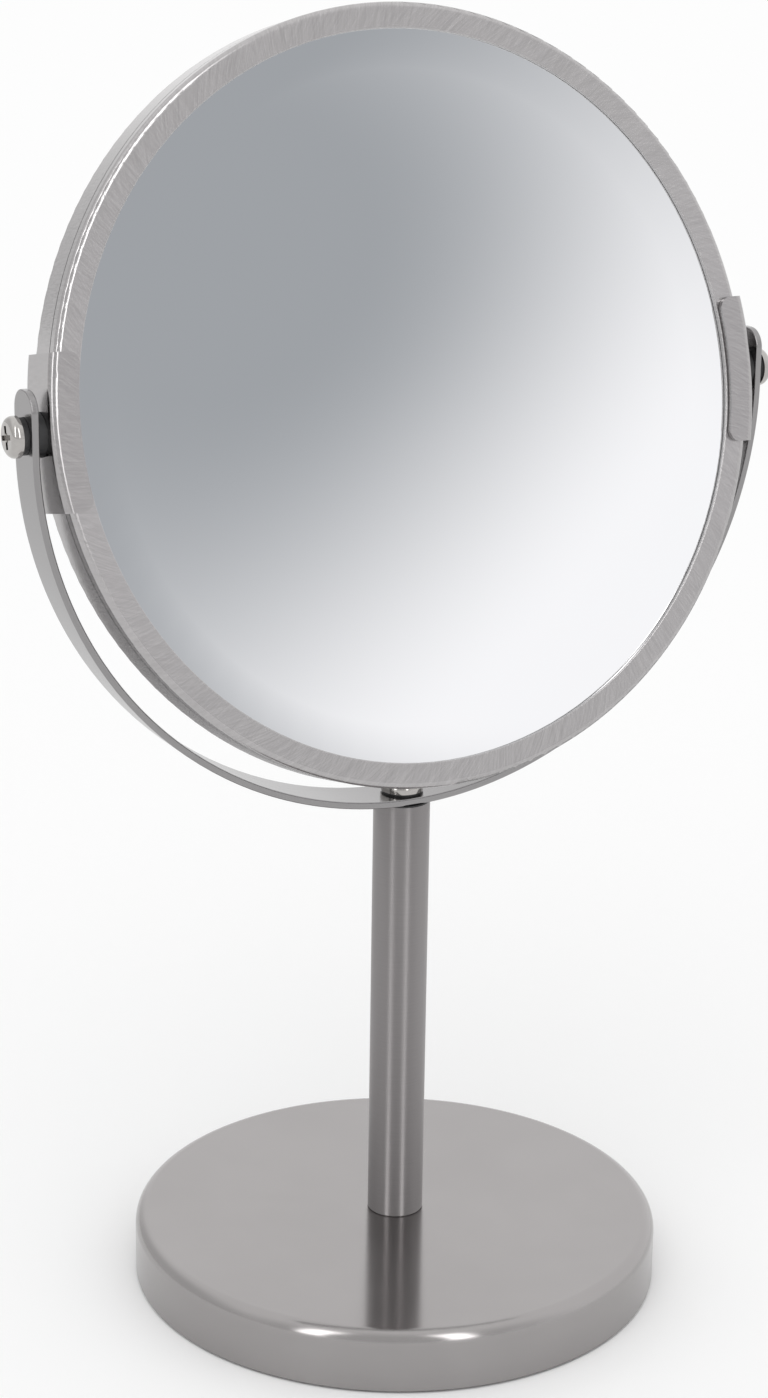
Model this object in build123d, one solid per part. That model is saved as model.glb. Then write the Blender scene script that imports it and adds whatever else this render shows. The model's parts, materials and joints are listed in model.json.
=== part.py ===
from build123d import *
import math
import os

# Table mirror with two faces: a weighted round foot, a tubular stem, a U-shaped yoke
# and a round head that turns all the way over between the yoke's arms.
# Millimetres, +Z up. The origin is the centre of the foot's underside, on the table.
# The head turns about an axis along X. Its magnifying face looks along -Y.

# Foot
base_radius = 62.5
base_height = 15.0
base_edge_radius = 3.0
cover_sheet = 1.0
skirt_lip_radius = 0.3
pad_thickness = 1.5
pad_proud = 0.5
pad_gap = 0.4
ballast_gap = 0.4

# Bolt that draws the stem down on the foot
bolt_radius = 3.0
bolt_head_flats = 10.0
bolt_head_height = 3.5
bolt_washer_radius = 7.0
bolt_washer_thickness = 1.2
bolt_grip = 14.0
bolt_head_sink = 1.0
counterbore_gap = 1.0

# Stem
stem_radius = 6.6
stem_wall = 1.2
stem_length = 104.0
stem_foot_chamfer = 0.25
foot_insert_length = 18.0
top_plug_length = 14.0
top_plug_flange = 0.3

# Yoke: a flat strip bent to a U, with its two ends rounded off above the pivots
yoke_thickness = 1.6
yoke_drop = 2.4
yoke_waist_width = 12.0
yoke_arm_width = 10.2
yoke_end_height = 9.8
yoke_end_radius = 4.4
yoke_edge_radius = 0.3

# Screw that fastens the yoke to the stem
yoke_screw_radius = 2.5
yoke_screw_head_radius = 4.9
yoke_screw_head_height = 2.6
yoke_screw_grip = 11.0
yoke_washer_radius = 4.6
yoke_washer_thickness = 0.5

# Mirrors and the ring that spaces them apart inside the head
glass_radius = 82.5
glass_thickness = 2.0
magnifier_curve_radius = 1000.0
seat_width = 4.5
backing_thickness = 2.0
backing_air = 0.8
backing_gap = 0.5

# Rim: a shallow front ring and a deeper rear ring, both pressed from sheet
ring_sheet = 0.9
ring_lap = 2.0
ring_corner_radius = 1.3
ring_lip_radius = 0.3
front_skirt = 3.2
seam_gap = 0.25
glass_edge_gap = 0.3

# Clips that hold the two rings together at the pivots
clip_sheet = 1.2
clip_length = 33.5
clip_reach = 6.5
clip_fit = 0.1
clip_fold_radius = 1.7
clip_corner_radius = 2.6

# Pivots
pivot_screw_radius = 2.0
pivot_head_radius = 4.5
pivot_head_height = 2.4
pivot_tip = 1.5
inner_washer_radius = 4.8
inner_washer_thickness = 1.95
outer_spacer_radius = 4.0
outer_spacer_length = 1.4
pivot_play = 0.05
pivot_running_gap = 0.1
nut_width = 7.0
nut_thickness = 2.2
nut_gap = 0.35
rest_tilt = 12.5

# Cross recess of the screws
recess_width = 1.1
recess_span = 5.0
recess_depth = 1.3
recess_core_radius = 1.2
recess_tip_radius = 0.6

# Fits
push_gap = 0.03
thread_gap = 0.05
hole_gap = 0.2

# Heights of the foot and stem
cover_underside = base_height - cover_sheet
bolt_head_bottom = pad_thickness + bolt_head_sink
bolt_seat = bolt_head_bottom + bolt_head_height
ballast_web_bottom = bolt_seat + bolt_washer_thickness
stem_bore = stem_radius - stem_wall
stem_top = base_height + stem_length

# Depths of the head, measured along its own axis from its middle plane
magnifier_recess = magnifier_curve_radius - math.sqrt(magnifier_curve_radius**2 - glass_radius**2)
core_half_depth = (magnifier_recess + backing_air + backing_thickness) / 2
glass_face = core_half_depth + glass_thickness
rim_face = glass_face + ring_sheet

# Radii of the head, measured from its own axis
glass_window_radius = glass_radius - ring_lap
seat_inner_radius = glass_radius - seat_width
nut_inner_face = glass_radius + nut_gap
rim_inner_radius = nut_inner_face + nut_thickness + nut_gap
rim_radius = rim_inner_radius + ring_sheet
clip_inner_radius = rim_radius + clip_fit
clip_radius = clip_inner_radius + clip_sheet

# Faces across the pivot, measured from the middle of the head outwards along X
yoke_inner_radius = clip_radius + inner_washer_thickness + pivot_play
yoke_outer_radius = yoke_inner_radius + yoke_thickness
spacer_face = yoke_outer_radius + pivot_play
pivot_head_seat = spacer_face + outer_spacer_length

# Height of the pivot axis
yoke_underside = stem_top + top_plug_flange
pivot_height = yoke_underside + yoke_outer_radius + yoke_drop
bend_height = pivot_height - yoke_drop


def corner_rounded(outline, plane):
    """Face from corners (across, up, radius); a corner with a radius is rounded by it."""
    face = make_face(plane * Polyline(*[(across, up) for across, up, _ in outline], close=True))
    for across, up, radius in outline:
        if radius > 0:
            target = plane.from_local_coords(Vector(across, up))
            corner = face.vertices().sort_by_distance(target)[0]
            face = fillet(corner, radius)
    return face


def turned_upright(outline):
    """Solid of revolution about Z from corners (radius, height, rounding)."""
    return revolve(corner_rounded(outline, Plane.XZ), Axis.Z)


def turned_about_head_axis(outline):
    """Solid of revolution about Y from corners (radius, depth, rounding)."""
    return revolve(corner_rounded(outline, Plane.XY), Axis.Y)


def rod(radius, low, high):
    """Upright round bar between two heights on the Z axis."""
    return Pos(0, 0, low) * Cylinder(radius, high - low, align=(Align.CENTER, Align.CENTER, Align.MIN))


def along_x(solid):
    """Turn what was made along +Z so that it lies along +X."""
    return Rot(0, 90, 0) * solid


def other_side(solid):
    """The same piece at the other pivot."""
    return mirror(solid, Plane.YZ)


def bend_cylinder(radius):
    """Round bar along Y, on the axis about which the yoke's bottom is bent."""
    length = 4 * (yoke_waist_width + stem_radius)
    return Pos(0, 0, bend_height) * Rot(90, 0, 0) * Cylinder(radius, length)


def cross_recess(top):
    """Cutter for a cross recess that opens at the given height."""
    blade = Box(recess_span, recess_width, recess_depth, align=(Align.CENTER, Align.CENTER, Align.MAX))
    core = Cone(recess_tip_radius, recess_core_radius, recess_depth + recess_tip_radius,
                align=(Align.CENTER, Align.CENTER, Align.MAX))
    return Pos(0, 0, top) * (blade + Rot(0, 0, 90) * blade + core)


def pan_screw(shank_radius, shank_length, head_radius, head_height):
    """Pan head screw along Z, with its head seated at Z = 0 and its shank pointing down."""
    crown_radius = 0.7 * head_height
    head = turned_upright([
        (0, 0, 0),
        (head_radius, 0, 0),
        (head_radius, head_height, crown_radius),
        (0, head_height, 0),
    ])
    shank = rod(shank_radius, -shank_length, 0)
    return head + shank - cross_recess(head_height)


def make_base_cover():
    hole = bolt_radius + hole_gap
    inner = base_radius - cover_sheet
    return turned_upright([
        (hole, cover_underside, 0),
        (inner, cover_underside, base_edge_radius - cover_sheet),
        (inner, pad_proud, 0),
        (base_radius, pad_proud, skirt_lip_radius),
        (base_radius, base_height, base_edge_radius),
        (hole, base_height, 0),
    ])


def make_base_pad():
    return rod(base_radius - cover_sheet - pad_gap, 0, pad_thickness)


def make_base_ballast():
    radius = base_radius - cover_sheet - ballast_gap
    body = turned_upright([
        (0, pad_thickness, 0),
        (radius, pad_thickness, 0),
        (radius, cover_underside, base_edge_radius),
        (0, cover_underside, 0),
    ])
    counterbore = rod(bolt_washer_radius + counterbore_gap, pad_thickness, ballast_web_bottom)
    return body - counterbore - rod(bolt_radius + hole_gap, pad_thickness, cover_underside)


def make_base_bolt():
    hexagon = RegularPolygon(bolt_head_flats / 2, 6, major_radius=False)
    head = Pos(0, 0, bolt_head_bottom) * extrude(hexagon, bolt_head_height)
    return head + rod(bolt_radius, bolt_seat, base_height + bolt_grip)


def make_base_bolt_washer():
    disc = rod(bolt_washer_radius, bolt_seat, ballast_web_bottom)
    return disc - rod(bolt_radius + hole_gap, bolt_seat, ballast_web_bottom)


def make_stem_tube():
    return turned_upright([
        (stem_bore, base_height, 0),
        (stem_radius - stem_foot_chamfer, base_height, 0),
        (stem_radius, base_height + stem_foot_chamfer, 0),
        (stem_radius, stem_top, 0),
        (stem_bore, stem_top, 0),
    ])


def make_stem_foot_insert():
    top = base_height + foot_insert_length
    return rod(stem_bore - push_gap, base_height, top) - rod(bolt_radius + thread_gap, base_height, top)


def make_stem_top_plug():
    flange_top = stem_top + top_plug_flange + stem_radius
    plug = rod(stem_bore - push_gap, stem_top - top_plug_length, stem_top)
    plug += rod(stem_radius, stem_top, flange_top)
    plug -= bend_cylinder(yoke_outer_radius)
    return plug - rod(yoke_screw_radius + thread_gap, stem_top - top_plug_length, flange_top)


def u_shape(radius):
    """Half disc below the bend height, with a block above it that reaches the strip's ends."""
    rise = yoke_end_height + yoke_drop
    block = Pos(0, rise / 2) * Rectangle(2 * radius, rise)
    lower_half = Pos(0, -radius / 2) * Rectangle(2 * radius, radius)
    return block + (Circle(radius) & lower_half)


def make_yoke():
    depth = 2 * max(yoke_waist_width, yoke_arm_width)
    band = u_shape(yoke_outer_radius) - u_shape(yoke_inner_radius)
    band = extrude(Plane((0, 0, bend_height), x_dir=(1, 0, 0), z_dir=(0, -1, 0)) * band, depth / 2, both=True)
    foot = -(yoke_outer_radius + yoke_drop)
    side_view = corner_rounded([
        (-yoke_arm_width / 2, yoke_end_height, yoke_end_radius),
        (yoke_arm_width / 2, yoke_end_height, yoke_end_radius),
        (yoke_arm_width / 2, 0, 0),
        (yoke_waist_width / 2, foot, 0),
        (-yoke_waist_width / 2, foot, 0),
        (-yoke_arm_width / 2, 0, 0),
    ], Plane((0, 0, pivot_height), x_dir=(0, 1, 0), z_dir=(1, 0, 0)))
    yoke = band & extrude(side_view, 2 * yoke_outer_radius, both=True)
    yoke = fillet(yoke.edges(), yoke_edge_radius)
    pivot_hole = along_x(rod(pivot_screw_radius + pivot_running_gap, -pivot_head_seat, pivot_head_seat))
    yoke -= Pos(0, 0, pivot_height) * pivot_hole
    return yoke - rod(yoke_screw_radius + hole_gap, yoke_underside, pivot_height)


def yoke_screw_seat():
    """Height of the screw head's underside, over a washer that spans the curved strip."""
    rise = yoke_inner_radius - math.sqrt(yoke_inner_radius**2 - yoke_washer_radius**2)
    return bend_height - yoke_inner_radius + rise + yoke_washer_thickness


def make_yoke_washer():
    low = bend_height - yoke_inner_radius
    high = yoke_screw_seat()
    disc = rod(yoke_washer_radius, low, high) - rod(yoke_screw_radius + hole_gap, low, high)
    return disc & bend_cylinder(yoke_inner_radius)


def make_yoke_screw():
    seat = yoke_screw_seat()
    length = seat - stem_top + yoke_screw_grip
    screw = pan_screw(yoke_screw_radius, length, yoke_screw_head_radius, yoke_screw_head_height)
    return Pos(0, 0, seat) * screw


def pressed_ring(face, skirt_end):
    """Ring with an L section: a flat face that laps over the glass and a skirt round the edge."""
    inward = face - math.copysign(ring_sheet, face)
    return turned_about_head_axis([
        (glass_window_radius, face, ring_lip_radius),
        (rim_radius, face, ring_corner_radius),
        (rim_radius, skirt_end, 0),
        (rim_inner_radius, skirt_end, 0),
        (rim_inner_radius, inward, ring_corner_radius - ring_sheet),
        (glass_window_radius, inward, 0),
    ])


def pivot_drilling(radius):
    """Cutter for the holes at both pivots."""
    return along_x(rod(radius, -pivot_head_seat, pivot_head_seat))


def make_front_ring():
    return pressed_ring(-rim_face, front_skirt - rim_face)


def make_rear_ring():
    ring = pressed_ring(rim_face, front_skirt - rim_face + seam_gap)
    return ring - pivot_drilling(pivot_screw_radius + hole_gap)


def magnifier_face(radius, edge_depth):
    """Depth of the curved glass at a distance from the head's axis."""
    centre = magnifier_curve_radius - magnifier_recess
    return edge_depth + math.sqrt(magnifier_curve_radius**2 - radius**2) - centre


def make_magnifying_mirror():
    front_edge = (glass_radius, -glass_face)
    front_middle = (0, magnifier_face(0, -glass_face))
    back_middle = (0, magnifier_face(0, -core_half_depth))
    back_edge = (glass_radius, -core_half_depth)
    halfway = glass_radius / 2
    front = ThreePointArc(front_edge, (halfway, magnifier_face(halfway, -glass_face)), front_middle)
    back = ThreePointArc(back_middle, (halfway, magnifier_face(halfway, -core_half_depth)), back_edge)
    outline = front + Line(front_middle, back_middle) + back + Line(back_edge, front_edge)
    return revolve(make_face(outline), Axis.Y)


def make_plain_mirror():
    return turned_about_head_axis([
        (0, core_half_depth, 0),
        (glass_radius, core_half_depth, 0),
        (glass_radius, glass_face, 0),
        (0, glass_face, 0),
    ])


def make_spacer_ring():
    """Ring that carries both mirrors, with a lip round the edge of each."""
    outer = rim_inner_radius - push_gap
    lip = glass_radius + glass_edge_gap
    ring = turned_about_head_axis([
        (seat_inner_radius, core_half_depth, 0),
        (lip, core_half_depth, 0),
        (lip, glass_face, 0),
        (outer, glass_face, ring_corner_radius - ring_sheet),
        (outer, -glass_face, ring_corner_radius - ring_sheet),
        (lip, -glass_face, 0),
        (lip, -core_half_depth, 0),
        (glass_radius, -core_half_depth, 0),
        (seat_inner_radius, magnifier_face(seat_inner_radius, -core_half_depth) + push_gap, 0),
    ])
    ring -= pivot_drilling(pivot_screw_radius + hole_gap)
    pocket_width = nut_width + 2 * hole_gap
    pocket = Pos(nut_inner_face - push_gap, 0, 0) * Box(
        nut_thickness + 2 * nut_gap + ring_sheet, pocket_width, pocket_width,
        align=(Align.MIN, Align.CENTER, Align.CENTER))
    return ring - pocket - other_side(pocket)


def make_backing_sheet():
    return turned_about_head_axis([
        (0, core_half_depth - backing_thickness, 0),
        (seat_inner_radius - backing_gap, core_half_depth - backing_thickness, 0),
        (seat_inner_radius - backing_gap, core_half_depth, 0),
        (0, core_half_depth, 0),
    ])


def make_right_clip():
    """U-shaped clip, bent round the rim, with rounded corners on its two flanges."""
    inner_face = rim_face + clip_fit
    outer_face = inner_face + clip_sheet
    flange_end = clip_radius - clip_reach
    inner_fold = clip_fold_radius - clip_sheet
    clip = turned_about_head_axis([
        (flange_end, -outer_face, 0),
        (clip_radius, -outer_face, clip_fold_radius),
        (clip_radius, outer_face, clip_fold_radius),
        (flange_end, outer_face, 0),
        (flange_end, inner_face, 0),
        (clip_inner_radius, inner_face, inner_fold),
        (clip_inner_radius, -inner_face, inner_fold),
        (flange_end, -inner_face, 0),
    ])
    clip &= Box(2 * clip_radius, 4 * outer_face, clip_length, align=(Align.MIN, Align.CENTER, Align.CENTER))
    corners = clip.edges().filter_by(Axis.Y).group_by(Axis.X)[0]
    clip = fillet(corners, clip_corner_radius)
    return clip - pivot_drilling(pivot_screw_radius + hole_gap)


def make_right_pivot_nut():
    nut = Pos(nut_inner_face, 0, 0) * Box(
        nut_thickness, nut_width, nut_width, align=(Align.MIN, Align.CENTER, Align.CENTER))
    return nut - pivot_drilling(pivot_screw_radius + thread_gap)


def drilled_disc(radius, low, high):
    """Washer across the right-hand pivot, between two distances from the head's middle."""
    return along_x(rod(radius, low, high) - rod(pivot_screw_radius + thread_gap, low, high))


def make_right_inner_washer():
    return drilled_disc(inner_washer_radius, clip_radius, clip_radius + inner_washer_thickness)


def make_right_outer_spacer():
    return drilled_disc(outer_spacer_radius, spacer_face, pivot_head_seat)


def make_right_pivot_screw():
    length = pivot_head_seat - nut_inner_face + pivot_tip
    screw = pan_screw(pivot_screw_radius, length, pivot_head_radius, pivot_head_height)
    return along_x(Pos(0, 0, pivot_head_seat) * screw)


stand_pieces = {
    "base_cover": make_base_cover(),
    "base_pad": make_base_pad(),
    "base_ballast": make_base_ballast(),
    "base_bolt": make_base_bolt(),
    "base_bolt_washer": make_base_bolt_washer(),
    "stem_tube": make_stem_tube(),
    "stem_foot_insert": make_stem_foot_insert(),
    "stem_top_plug": make_stem_top_plug(),
    "yoke": make_yoke(),
    "yoke_washer": make_yoke_washer(),
    "yoke_screw": make_yoke_screw(),
}

head_pieces = {
    "front_ring": make_front_ring(),
    "rear_ring": make_rear_ring(),
    "magnifying_mirror": make_magnifying_mirror(),
    "plain_mirror": make_plain_mirror(),
    "mirror_spacer_ring": make_spacer_ring(),
    "mirror_backing": make_backing_sheet(),
}

right_pivot_pieces = {
    "clip": make_right_clip(),
    "pivot_nut": make_right_pivot_nut(),
    "inner_washer": make_right_inner_washer(),
    "outer_spacer": make_right_outer_spacer(),
    "pivot_screw": make_right_pivot_screw(),
}

for name, piece in right_pivot_pieces.items():
    head_pieces["right_" + name] = piece
    head_pieces["left_" + name] = other_side(piece)

# The head is made upright about its own centre, then leaned back and lifted to the pivot.
head_place = Pos(0, 0, pivot_height) * Rot(-rest_tilt, 0, 0)

os.makedirs("parts", exist_ok=True)
for name, piece in stand_pieces.items():
    export_step(piece, f"parts/{name}.step")
for name, piece in head_pieces.items():
    export_step(head_place * piece, f"parts/{name}.step")

print("pivot height", round(pivot_height, 3))
print("rim radius", round(rim_radius, 3), "rim depth", round(2 * rim_face, 3))
print("yoke inner radius", round(yoke_inner_radius, 3))
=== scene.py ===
import json
import math

import bmesh
import bpy
from mathutils import Matrix, Vector


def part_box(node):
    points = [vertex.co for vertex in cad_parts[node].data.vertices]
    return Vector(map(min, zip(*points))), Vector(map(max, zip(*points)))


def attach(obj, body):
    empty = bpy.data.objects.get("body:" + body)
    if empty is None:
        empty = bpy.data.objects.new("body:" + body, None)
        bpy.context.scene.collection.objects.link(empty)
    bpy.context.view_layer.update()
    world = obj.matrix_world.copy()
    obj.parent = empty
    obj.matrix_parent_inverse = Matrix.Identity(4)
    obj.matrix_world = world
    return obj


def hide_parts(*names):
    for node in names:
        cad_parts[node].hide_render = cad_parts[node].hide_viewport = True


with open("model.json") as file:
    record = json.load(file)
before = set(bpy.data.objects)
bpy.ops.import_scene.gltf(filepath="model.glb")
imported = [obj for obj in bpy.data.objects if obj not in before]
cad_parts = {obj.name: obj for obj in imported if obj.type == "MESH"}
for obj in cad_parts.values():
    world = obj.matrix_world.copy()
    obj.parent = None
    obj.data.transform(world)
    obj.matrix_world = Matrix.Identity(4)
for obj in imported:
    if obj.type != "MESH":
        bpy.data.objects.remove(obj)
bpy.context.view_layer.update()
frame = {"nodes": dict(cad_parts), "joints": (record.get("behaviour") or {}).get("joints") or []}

MM = 0.001

# Places taken from the frame

joint = frame["joints"][0]
pivot = Vector(joint["pos_m"])
foot_low, foot_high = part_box("base_cover")
foot_radius = foot_high.x
rest_tilt = math.radians(12.5)
head_place = (Matrix.Translation(pivot)
              @ Matrix.Rotation(-rest_tilt, 4, "X")
              @ Matrix.Rotation(math.radians(90), 4, "X"))

# Sizes of the two turned pieces, the same as in the CAD model

foot_edge_radius = 3.0 * MM
foot_sheet = 1.0 * MM
foot_lip_radius = 0.3 * MM
foot_hole_radius = 3.2 * MM
glass_radius = 82.5 * MM
glass_thickness = 2.0 * MM
glass_curve_radius = 1000.0 * MM
glass_edge_depth = 5.105 * MM

# How finely they are turned

foot_steps = 192
foot_edge_segments = 10
foot_inner_edge_segments = 6
foot_lip_segments = 3
glass_steps = 64
glass_arc_steps = 8
merge_distance = 1e-7
sharp_angle = math.radians(30)

# The camera, fitted to the photograph's outlines

photo_height = 1398
focal_pixels = 2992.0
sensor_width = 36.0
nearest_seen = 0.01
farthest_seen = 100.0
camera_distance = 653.5 * MM
camera_height = 349.3 * MM
camera_aside = -4.45 * MM
camera_turn = math.radians(28.22)
camera_pitch = math.radians(17.51)
camera_roll = math.radians(0.86)


def make_camera():
    """Looks down a little at the mirror from its left, from just above its top."""
    heading = Vector((math.sin(camera_turn), math.cos(camera_turn), 0))
    side = Vector((math.cos(camera_turn), -math.sin(camera_turn), 0))
    up = Vector((0, 0, 1))
    forward = heading * math.cos(camera_pitch) - up * math.sin(camera_pitch)
    top = up * math.cos(camera_pitch) + heading * math.sin(camera_pitch)
    right = side * math.cos(camera_roll) + top * math.sin(camera_roll)
    top = top * math.cos(camera_roll) - side * math.sin(camera_roll)
    place = side * camera_aside - heading * camera_distance + up * camera_height
    data = bpy.data.cameras.new("camera")
    data.sensor_width = sensor_width
    data.lens = focal_pixels * data.sensor_width / photo_height
    data.clip_start = nearest_seen
    data.clip_end = farthest_seen
    camera = bpy.data.objects.new("camera", data)
    bpy.context.scene.collection.objects.link(camera)
    turn = Matrix((right, top, -forward)).transposed()
    camera.matrix_world = Matrix.Translation(place) @ turn.to_4x4()
    bpy.context.scene.camera = camera


# Turned pieces

def piece_from(bm, name, node, body, place=None, has_flat_faces=True):
    """Makes a finished piece of a bmesh, in place of a node, and lets it ride on a body."""
    bmesh.ops.remove_doubles(bm, verts=bm.verts, dist=merge_distance)
    bmesh.ops.recalc_face_normals(bm, faces=bm.faces)
    if place:
        bmesh.ops.transform(bm, matrix=place, verts=bm.verts)
    mesh = bpy.data.meshes.new(name)
    bm.to_mesh(mesh)
    bm.free()
    mesh.shade_smooth()
    mesh.set_sharp_from_angle(angle=sharp_angle)
    piece = bpy.data.objects.new(name, mesh)
    bpy.context.scene.collection.objects.link(piece)
    if has_flat_faces:
        weighted = piece.modifiers.new("flat_faces_stay_flat", "WEIGHTED_NORMAL")
        weighted.keep_sharp = True
    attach(piece, body)
    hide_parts(node)
    return piece


def spin_round(bm, steps):
    """Turns everything drawn so far right round the Z axis."""
    bmesh.ops.spin(bm, geom=bm.verts[:] + bm.edges[:], cent=(0, 0, 0), axis=(0, 0, 1),
                   angle=math.tau, steps=steps, use_merge=True)


def round_circle(bm, radius, height, rounding, segments):
    """Rounds off the turned edge at a radius and height."""
    near = 0.02 * MM

    def on_circle(vert):
        return abs(vert.co.xy.length - radius) < near and abs(vert.co.z - height) < near

    ring = [edge for edge in bm.edges if all(on_circle(vert) for vert in edge.verts)]
    bmesh.ops.bevel(bm, geom=ring, offset=rounding, offset_type="OFFSET", segments=segments,
                    profile=0.5, affect="EDGES", material=-1)


def make_foot_cover():
    """Pressed foot: a flat top, a rounded edge and a skirt, turned from its outline."""
    inner = foot_radius - foot_sheet
    underside = foot_high.z - foot_sheet
    outline = [
        (foot_hole_radius, underside),
        (inner, underside),
        (inner, foot_low.z),
        (foot_radius, foot_low.z),
        (foot_radius, foot_high.z),
        (foot_hole_radius, foot_high.z),
    ]
    bm = bmesh.new()
    corners = [bm.verts.new((radius, 0, height)) for radius, height in outline]
    for first, second in zip(corners, corners[1:] + corners[:1]):
        bm.edges.new((first, second))
    spin_round(bm, foot_steps)
    bmesh.ops.remove_doubles(bm, verts=bm.verts, dist=merge_distance)
    round_circle(bm, foot_radius, foot_high.z, foot_edge_radius, foot_edge_segments)
    round_circle(bm, inner, underside, foot_edge_radius - foot_sheet, foot_inner_edge_segments)
    round_circle(bm, foot_radius, foot_low.z, foot_lip_radius, foot_lip_segments)
    return piece_from(bm, "foot_cover", "base_cover", "stand")


def make_dished_glass():
    """Magnifying glass: a shallow dish, hollow towards the viewer, the same thickness all over."""
    half_angle = math.asin(glass_radius / glass_curve_radius)
    rise = glass_curve_radius * (1 - math.cos(half_angle))
    bm = bmesh.new()
    edges = []
    for depth in (glass_edge_depth, glass_edge_depth - glass_thickness):
        middle = bm.verts.new((0, 0, depth - rise))
        centre = (0, 0, depth - rise + glass_curve_radius)
        arc = bmesh.ops.spin(bm, geom=[middle], cent=centre, axis=(0, 1, 0),
                             angle=-half_angle, steps=glass_arc_steps)
        edges.append(arc["geom_last"][0])
    bm.edges.new(edges)
    spin_round(bm, glass_steps)
    return piece_from(bm, "dished_glass", "magnifying_mirror", "head", head_place,
                      has_flat_faces=False)


# Ways to wire up a material or the room

class Wiring:
    """Nodes being put together in one material or in the world."""

    def __init__(self, tree):
        self.nodes = tree.nodes
        self.links = tree.links

    def add(self, kind, inputs=None, **settings):
        """A node with its settings, whose inputs are values or other nodes' outputs."""
        node = self.nodes.new(kind)
        for setting, value in settings.items():
            setattr(node, setting, value)
        for key, value in (inputs or {}).items():
            if isinstance(value, bpy.types.NodeSocket):
                self.links.new(value, node.inputs[key])
            else:
                node.inputs[key].default_value = value
        return node

    def math(self, operation, first, second=0.0):
        return self.add("ShaderNodeMath", {0: first, 1: second}, operation=operation).outputs[0]

    def times(self, first, second):
        return self.math("MULTIPLY", first, second)

    def plus(self, first, second):
        return self.math("ADD", first, second)

    def vector(self, operation, first, second=(0, 0, 0)):
        return self.add("ShaderNodeVectorMath", {0: first, 1: second}, operation=operation).outputs[0]

    def along(self, place, towards):
        """How far a place lies towards a direction."""
        node = self.add("ShaderNodeVectorMath", {0: place, 1: towards}, operation="DOT_PRODUCT")
        return node.outputs["Value"]

    def spread(self, value, low, high, from_low=0.3, from_high=0.7, shape="LINEAR"):
        """Maps a range of a value on to another range, straight or with soft ends."""
        return self.add("ShaderNodeMapRange", {
            "Value": value,
            "From Min": from_low,
            "From Max": from_high,
            "To Min": low,
            "To Max": high,
        }, interpolation_type=shape).outputs[0]

    def soften(self, value, low, high, between):
        """The same with soft ends, between two values given together."""
        return self.spread(value, low, high, *between, "SMOOTHSTEP")

    def blend(self, factor, first, second):
        return self.add("ShaderNodeMix", {0: factor, 2: first, 3: second}, data_type="FLOAT").outputs[0]

    def blend_color(self, factor, first, second):
        return self.add("ShaderNodeMix", {0: factor, 6: first, 7: second}, data_type="RGBA").outputs[2]

    def noise(self, place, scale, detail=2.0, roughness=0.5):
        return self.add("ShaderNodeTexNoise", {
            "Vector": place,
            "Scale": scale,
            "Detail": detail,
            "Roughness": roughness,
        }).outputs["Fac"]


class Finish(Wiring):
    """A material being put together: its nodes, its shader and the piece's own coordinates."""

    def __init__(self, name, color, metallic, roughness, **sockets):
        self.material = bpy.data.materials.new(name)
        self.material.use_nodes = True
        super().__init__(self.material.node_tree)
        self.shader = self.nodes["Principled BSDF"]
        self.set("Base Color", (*color, 1.0))
        self.set("Metallic", metallic)
        self.set("Roughness", roughness)
        for socket, value in sockets.items():
            self.set(socket.replace("_", " "), value)
        self.color = color
        self.here = self.add("ShaderNodeTexCoord").outputs["Object"]

    def set(self, socket, value):
        self.shader.inputs[socket].default_value = value

    def feed(self, output, socket):
        self.links.new(output, self.shader.inputs[socket])

    def head_place(self):
        """Coordinates from the middle of the head, with Y along the head's own axis."""
        return self.add("ShaderNodeMapping", {
            "Vector": self.here,
            "Location": pivot,
            "Rotation": (-rest_tilt, 0, 0),
        }, vector_type="TEXTURE").outputs[0]

    def around(self, place, axis):
        """Angle, distance and depth round an axis through the middle of the place given."""
        x, y, z = self.add("ShaderNodeSeparateXYZ", {0: place}).outputs
        across, along, depth = (x, y, z) if axis == "Z" else (x, z, y)
        angle = self.math("ARCTAN2", along, across)
        squared = self.plus(self.times(across, across), self.times(along, along))
        return angle, self.math("SQRT", squared), depth

    def join(self, x, y, z):
        return self.add("ShaderNodeCombineXYZ", {0: x, 1: y, 2: z}).outputs[0]

    def shade(self, value, low, high):
        """Feeds the base colour, darkened or lightened between two factors by a noise value."""
        factor = self.spread(value, low, high)
        tint = self.vector("SCALE", self.color)
        self.links.new(factor, tint.node.inputs["Scale"])
        self.feed(tint, "Base Color")

    def roughen(self, value, low, high, **between):
        """Feeds the roughness between two levels by a noise value."""
        self.feed(self.spread(value, low, high, **between), "Roughness")

    def bump(self, height, distance, strength=1.0):
        node = self.add("ShaderNodeBump", {"Height": height, "Distance": distance, "Strength": strength})
        self.feed(node.outputs[0], "Normal")

    def grain_round(self, axis_vector, place):
        """Turns the highlight's long side across grooves that run round an axis."""
        tangent = self.vector("CROSS_PRODUCT", axis_vector, place)
        turned = self.add("ShaderNodeVectorTransform", {0: self.vector("NORMALIZE", tangent)},
                          vector_type="VECTOR", convert_from="OBJECT", convert_to="WORLD").outputs[0]
        self.feed(turned, "Tangent")


# Metals

foot_nickel = (0.352, 0.338, 0.336)
stem_nickel = (0.305, 0.291, 0.292)
strip_nickel = (0.305, 0.298, 0.300)
ring_nickel = (0.44, 0.428, 0.43)
clip_nickel = (0.40, 0.388, 0.39)
screw_nickel = (0.46, 0.445, 0.43)
zinc = (0.60, 0.60, 0.575)
silver = (0.925, 0.935, 0.945)
across_grooves = 0.25
rim_slant = 0.9
clip_slant = 0.6


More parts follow.
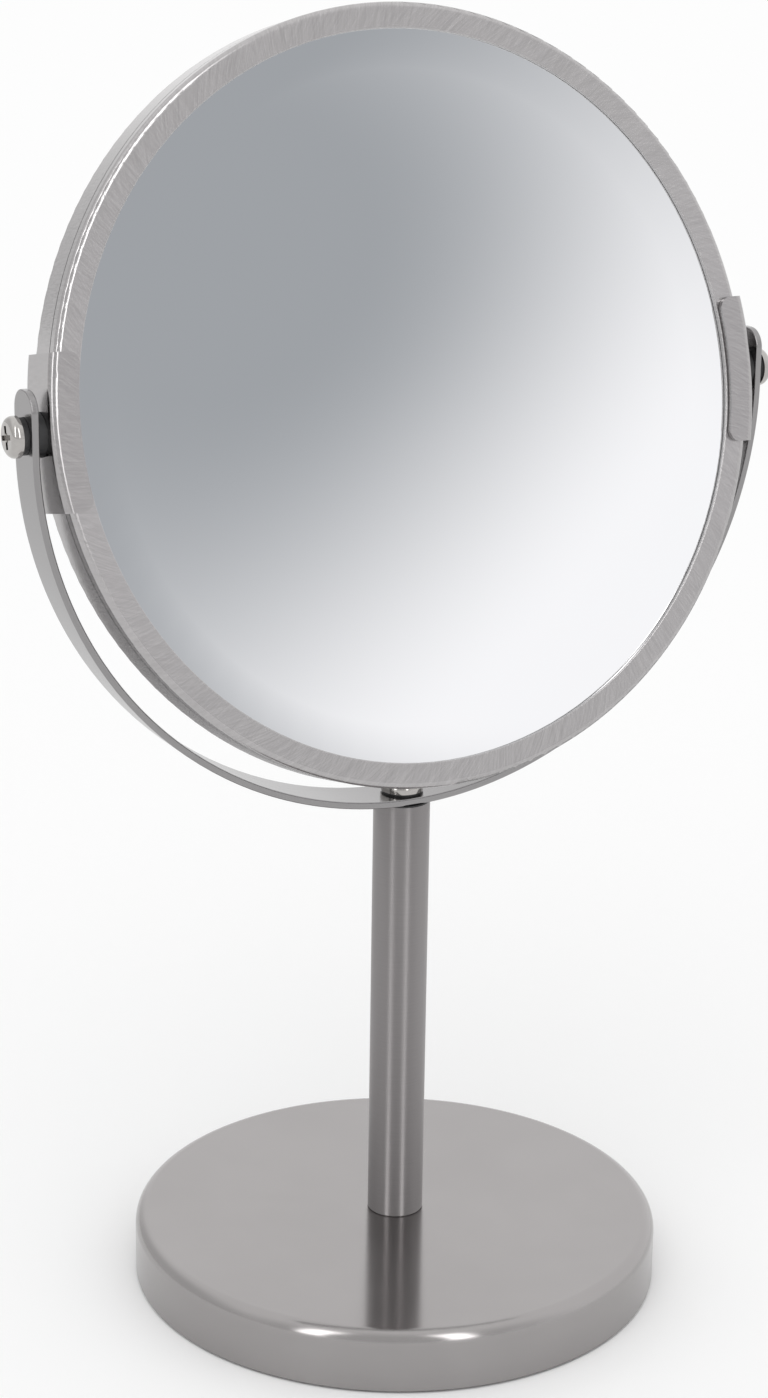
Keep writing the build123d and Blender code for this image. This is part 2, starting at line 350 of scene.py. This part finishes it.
def polished_foot():
    """Nearly polished nickel: fine buffing rings that draw highlights out towards the edge."""
    rings_scale = 1400.0
    ring_share = 0.35
    cloud_share = 0.65
    finish = Finish("polished_nickel_foot", foot_nickel, metallic=1.0, roughness=0.19,
                    Anisotropic=0.9, Anisotropic_Rotation=across_grooves)
    finish.grain_round((0, 0, 1), finish.here)
    angle, radius, height = finish.around(finish.here, "Z")
    lines = finish.join(finish.times(radius, rings_scale), finish.times(height, rings_scale),
                        finish.times(angle, 1.5))
    ring = finish.noise(lines, scale=1.0, detail=3.0)
    cloud = finish.noise(finish.here, scale=45.0, detail=3.0)
    finish.shade(cloud, low=0.975, high=1.025)
    mixed = finish.plus(finish.times(ring, ring_share), finish.times(cloud, cloud_share))
    finish.roughen(mixed, low=0.17, high=0.21)
    finish.bump(ring, distance=0.0005 * MM, strength=0.05)
    return finish.material


def satin_stem():
    """Satin nickel over grooves that run round the tube."""
    grooves_scale = 2600.0
    finish = Finish("satin_nickel_stem", stem_nickel, metallic=1.0, roughness=0.42,
                    Anisotropic=0.97, Anisotropic_Rotation=across_grooves)
    finish.grain_round((0, 0, 1), finish.here)
    angle, _, height = finish.around(finish.here, "Z")
    lines = finish.join(finish.times(angle, 0.8), finish.times(height, grooves_scale), 0.0)
    groove = finish.noise(lines, scale=1.0, detail=4.0, roughness=0.6)
    finish.shade(groove, low=0.96, high=1.04)
    finish.roughen(groove, low=0.38, high=0.46)
    finish.bump(groove, distance=0.001 * MM, strength=0.25)
    return finish.material


def satin_strip():
    """Satin nickel on the bent strip, with the rolling grain along its length."""
    grain_scale = 2200.0
    finish = Finish("satin_nickel_strip", strip_nickel, metallic=1.0, roughness=0.2,
                    Anisotropic=0.5, Anisotropic_Rotation=across_grooves)
    centred = finish.vector("SUBTRACT", finish.here, pivot)
    finish.grain_round((0, 1, 0), centred)
    angle, radius, depth = finish.around(centred, "Y")
    lines = finish.join(finish.times(angle, 6.0), finish.times(radius, grain_scale),
                        finish.times(depth, grain_scale))
    grain = finish.noise(lines, scale=1.0, detail=4.0, roughness=0.6)
    finish.shade(grain, low=0.96, high=1.04)
    finish.roughen(grain, low=0.15, high=0.24)
    finish.bump(grain, distance=0.0015 * MM, strength=0.3)
    return finish.material


def brushed_ring(name, color, slant):
    """Nickel on the rim and clips, cross-brushed by hand: short scratches across the ring."""
    rim_metres = 0.083
    scratches_scale = 2400.0
    finish = Finish(name, color, metallic=1.0, roughness=0.23)
    place = finish.head_place()
    angle, radius, depth = finish.around(place, "Y")
    round_it = finish.times(angle, rim_metres)
    layers = []
    for lean, offset in ((slant, 0.0), (slant * 0.3, 3.0)):
        leaned = finish.plus(round_it, finish.times(radius, lean))
        lines = finish.join(finish.times(leaned, scratches_scale), finish.times(radius, 160.0),
                            finish.plus(finish.times(depth, 400.0), offset))
        layers.append(finish.noise(lines, scale=1.0, detail=3.0, roughness=0.6))
    patches = finish.noise(place, scale=55.0)
    mix = finish.blend(finish.spread(patches, 0.15, 0.85), layers[0], layers[1])
    finish.shade(mix, low=0.88, high=1.12)
    finish.roughen(mix, low=0.14, high=0.26)
    finish.bump(mix, distance=0.007 * MM, strength=0.2)
    return finish.material


def bright_nickel():
    """Polished screw heads, with the faint marks of handling."""
    finish = Finish("bright_nickel", screw_nickel, metallic=1.0, roughness=0.1)
    marks = finish.noise(finish.here, scale=900.0, detail=3.0)
    finish.shade(marks, low=0.94, high=1.02)
    finish.roughen(marks, low=0.07, high=0.16)
    finish.bump(marks, distance=0.01 * MM, strength=0.15)
    return finish.material


def plated_steel():
    """Zinc plate on the hidden nuts, bolt and inserts."""
    finish = Finish("zinc_plate", zinc, metallic=1.0, roughness=0.35)
    spangle = finish.noise(finish.here, scale=700.0, detail=3.0)
    finish.shade(spangle, low=0.85, high=1.1)
    finish.roughen(spangle, low=0.28, high=0.46)
    return finish.material


def silvered_glass():
    """Mirror: silvering behind clear glass, with a trace of haze."""
    finish = Finish("silvered_glass", silver, metallic=1.0, roughness=0.0)
    haze = finish.noise(finish.here, scale=14.0, detail=3.0)
    finish.roughen(haze, low=0.0, high=0.012, from_low=0.45, from_high=0.75)
    finish.shade(haze, low=0.995, high=1.0)
    return finish.material


# Plastic, cement, foam and board

cement_grey = (0.42, 0.41, 0.39)
foam_black = (0.035, 0.035, 0.037)
board_grey = (0.46, 0.42, 0.36)
black_plastic = (0.018, 0.018, 0.019)
pale_plastic = (0.68, 0.68, 0.66)


def moulded_plastic(name, color, roughness):
    """Moulded plastic with a fine skin and slightly uneven colour."""
    unevenness = 0.06
    finish = Finish(name, color, metallic=0.0, roughness=roughness)
    skin = finish.noise(finish.here, scale=2500.0)
    finish.shade(finish.noise(finish.here, scale=200.0), low=0.85, high=1.15)
    finish.roughen(skin, low=roughness - unevenness, high=roughness + unevenness)
    finish.bump(skin, distance=0.01 * MM, strength=0.3)
    return finish.material


def cast_cement():
    """The weight inside the foot, with its sand showing."""
    finish = Finish("cast_cement", cement_grey, metallic=0.0, roughness=0.9)
    sand = finish.noise(finish.here, scale=600.0, detail=5.0, roughness=0.65)
    finish.shade(sand, low=0.7, high=1.15)
    finish.bump(sand, distance=0.15 * MM, strength=0.6)
    return finish.material


def foam_rubber():
    """The black pad under the foot, with fine cells."""
    finish = Finish("foam_rubber", foam_black, metallic=0.0, roughness=0.8)
    foam = finish.add("ShaderNodeTexVoronoi", {"Vector": finish.here, "Scale": 1400.0})
    cells = foam.outputs["Distance"]
    finish.shade(cells, low=0.7, high=1.3)
    finish.bump(cells, distance=0.05 * MM, strength=0.7)
    return finish.material


def grey_board():
    """The backing board between the two glasses, with its fibres."""
    finish = Finish("grey_board", board_grey, metallic=0.0, roughness=0.85)
    fibre = finish.noise(finish.here, scale=900.0, detail=4.0, roughness=0.6)
    finish.shade(fibre, low=0.85, high=1.12)
    finish.bump(fibre, distance=0.03 * MM, strength=0.4)
    return finish.material


# Which piece has which finish

def dress(material, *names):
    """Gives the CAD pieces of these names one finish."""
    for name in names:
        piece = frame["nodes"][name]
        piece.data.materials.clear()
        piece.data.materials.append(material)


def both_sides(*names):
    """The names of the pieces that are there on the left and on the right."""
    return [f"{side}_{name}" for side in ("left", "right") for name in names]


def dress_all():
    foot_finish = polished_foot()
    dress(foot_finish, "base_cover")
    make_foot_cover().data.materials.append(foot_finish)
    dress(satin_stem(), "stem_tube")
    dress(satin_strip(), "yoke")
    dress(brushed_ring("brushed_nickel_rim", ring_nickel, rim_slant), "front_ring", "rear_ring")
    dress(brushed_ring("brushed_nickel_clip", clip_nickel, clip_slant), *both_sides("clip"))
    dress(bright_nickel(), "yoke_screw", *both_sides("pivot_screw"))
    silvering = silvered_glass()
    dress(silvering, "magnifying_mirror", "plain_mirror")
    make_dished_glass().data.materials.append(silvering)
    dress(moulded_plastic("black_plastic", black_plastic, roughness=0.42),
          "stem_top_plug", "yoke_washer", *both_sides("outer_spacer", "inner_washer"))
    dress(moulded_plastic("inner_plastic", pale_plastic, roughness=0.5), "mirror_spacer_ring")
    dress(plated_steel(), "base_bolt", "base_bolt_washer", "stem_foot_insert", *both_sides("pivot_nut"))
    dress(cast_cement(), "base_ballast")
    dress(foam_rubber(), "base_pad")
    dress(grey_board(), "mirror_backing")


# Floor

floor_reach = 12.0
floor_white = (0.96, 0.96, 0.96)


def make_floor():
    """A wide pale floor, white to the eye except where the mirror shades it."""
    bm = bmesh.new()
    bmesh.ops.create_grid(bm, x_segments=1, y_segments=1, size=floor_reach)
    mesh = bpy.data.meshes.new("floor")
    bm.to_mesh(mesh)
    bm.free()
    floor = bpy.data.objects.new("floor", mesh)
    bpy.context.scene.collection.objects.link(floor)
    finish = Finish("pale_floor", floor_white, metallic=0.0, roughness=1.0, Specular_IOR_Level=0.0)
    mesh.materials.append(finish.material)


# Room and light. Turns are in degrees from the front, growing to the mirror's right.

white = (1.0, 1.0, 1.0, 1.0)
matt_level = 0.9

wall_white = 1.12
wall_front = 0.78
front_middle = -28.6
front_from_to = (0.0, 0.75)
wall_left = -0.34
left_middle = -140.0
left_from_to = (0.55, 0.9)

strip_turns = (-63.0, 0.5)
strip_half_width = 0.09
strip_level = 3.4
strip_foot = (0.05, 0.2)
strip_head = (0.75, 0.92)
strip_ahead = (0.05, 0.15)

cloud_middle = (30.0, 9.6)
cloud_half_width = 0.104
cloud_half_height = 0.033
cloud_dark = (0.372, 0.385, 0.405, 1.0)
cloud_pale = (1.0, 0.99, 1.0, 1.0)
cloud_from_to = (0.19, 1.0)
cloud_fade = (1.6, 2.6)
cloud_ahead = (0.5, 0.7)

key_energy = 0.45
key_width = math.radians(50)
key_from = (-40.0, 60.0)


def direction(turn_degrees, height_degrees):
    """Unit vector by its turn from the front and its height."""
    turn = math.radians(turn_degrees)
    height = math.radians(height_degrees)
    return Vector((math.sin(turn) * math.cos(height), -math.cos(turn) * math.cos(height), math.sin(height)))


def wall_brightness(room, look):
    """White walls, a greyer one in front, a darker one behind on the left, and two tall lights."""
    facing = room.along(look, direction(front_middle, 0.0))
    height = room.along(look, (0, 0, 1))
    level = room.soften(facing, wall_white, wall_front, front_from_to)
    left = room.along(look, direction(left_middle, 0.0))
    level = room.plus(level, room.soften(left, 0.0, wall_left, left_from_to))
    tall = room.times(room.soften(height, 0.0, 1.0, strip_foot), room.soften(height, 1.0, 0.0, strip_head))
    for turn in strip_turns:
        aside = room.math("ABSOLUTE", room.along(look, direction(turn + 90.0, 0.0)))
        across = room.soften(aside, 1.0, 0.0, (strip_half_width * 0.5, strip_half_width * 1.5))
        ahead = room.soften(room.along(look, direction(turn, 0.0)), 0.0, 1.0, strip_ahead)
        shape = room.times(room.times(across, ahead), tall)
        level = room.plus(level, room.times(shape, strip_level))
    return level


def grey_cloud(room, look):
    """A soft grey cloud where the mirror looks, and how far it covers the walls."""
    middle = direction(*cloud_middle)
    sideways = direction(cloud_middle[0] + 90.0, 0.0)
    upwards = -middle.cross(sideways)
    wide = room.math("DIVIDE", room.along(look, sideways), cloud_half_width)
    high = room.math("DIVIDE", room.along(look, upwards), cloud_half_height)
    reach = room.math("SQRT", room.plus(room.times(wide, wide), room.times(high, high)))
    pale = room.soften(reach, 0.0, 1.0, cloud_from_to)
    ahead = room.spread(room.along(look, middle), 0.0, 1.0, *cloud_ahead)
    inside = room.times(room.soften(reach, 1.0, 0.0, cloud_fade), ahead)
    return room.blend_color(pale, cloud_dark, cloud_pale), inside


def make_room():
    """Even soft light all round for matt pieces, the walls and the cloud for gloss, white for the camera."""
    world = bpy.data.worlds.new("studio")
    bpy.context.scene.world = world
    world.use_nodes = True
    world.node_tree.nodes.clear()
    world.cycles.sampling_method = "NONE"
    room = Wiring(world.node_tree)
    look = room.add("ShaderNodeTexCoord").outputs["Generated"]
    walls = room.vector("SCALE", (1, 1, 1))
    room.links.new(wall_brightness(room, look), walls.node.inputs["Scale"])
    cloud, inside = grey_cloud(room, look)
    gloss = room.blend_color(inside, walls, cloud)
    rays = room.add("ShaderNodeLightPath").outputs
    even = (matt_level, matt_level, matt_level, 1.0)
    lit = room.blend_color(rays["Is Glossy Ray"], even, gloss)
    seen = room.math("MAXIMUM", rays["Is Camera Ray"], rays["Is Transmission Ray"])
    shade = room.blend_color(seen, lit, white)
    back = room.add("ShaderNodeBackground", {"Color": shade, "Strength": 1.0})
    output = room.add("ShaderNodeOutputWorld")
    room.links.new(back.outputs[0], output.inputs["Surface"])


def make_key_light():
    """A broad soft light from above the front left, which gives matt pieces their shape."""
    data = bpy.data.lights.new("key_light", "SUN")
    data.energy = key_energy
    data.angle = key_width
    light = bpy.data.objects.new("key_light", data)
    bpy.context.scene.collection.objects.link(light)
    light.rotation_mode = "QUATERNION"
    light.rotation_quaternion = direction(*key_from).to_track_quat("Z", "Y")
    light.visible_glossy = False


bpy.context.scene.view_settings.view_transform = "Standard"
make_camera()
make_floor()
make_room()
make_key_light()
dress_all()
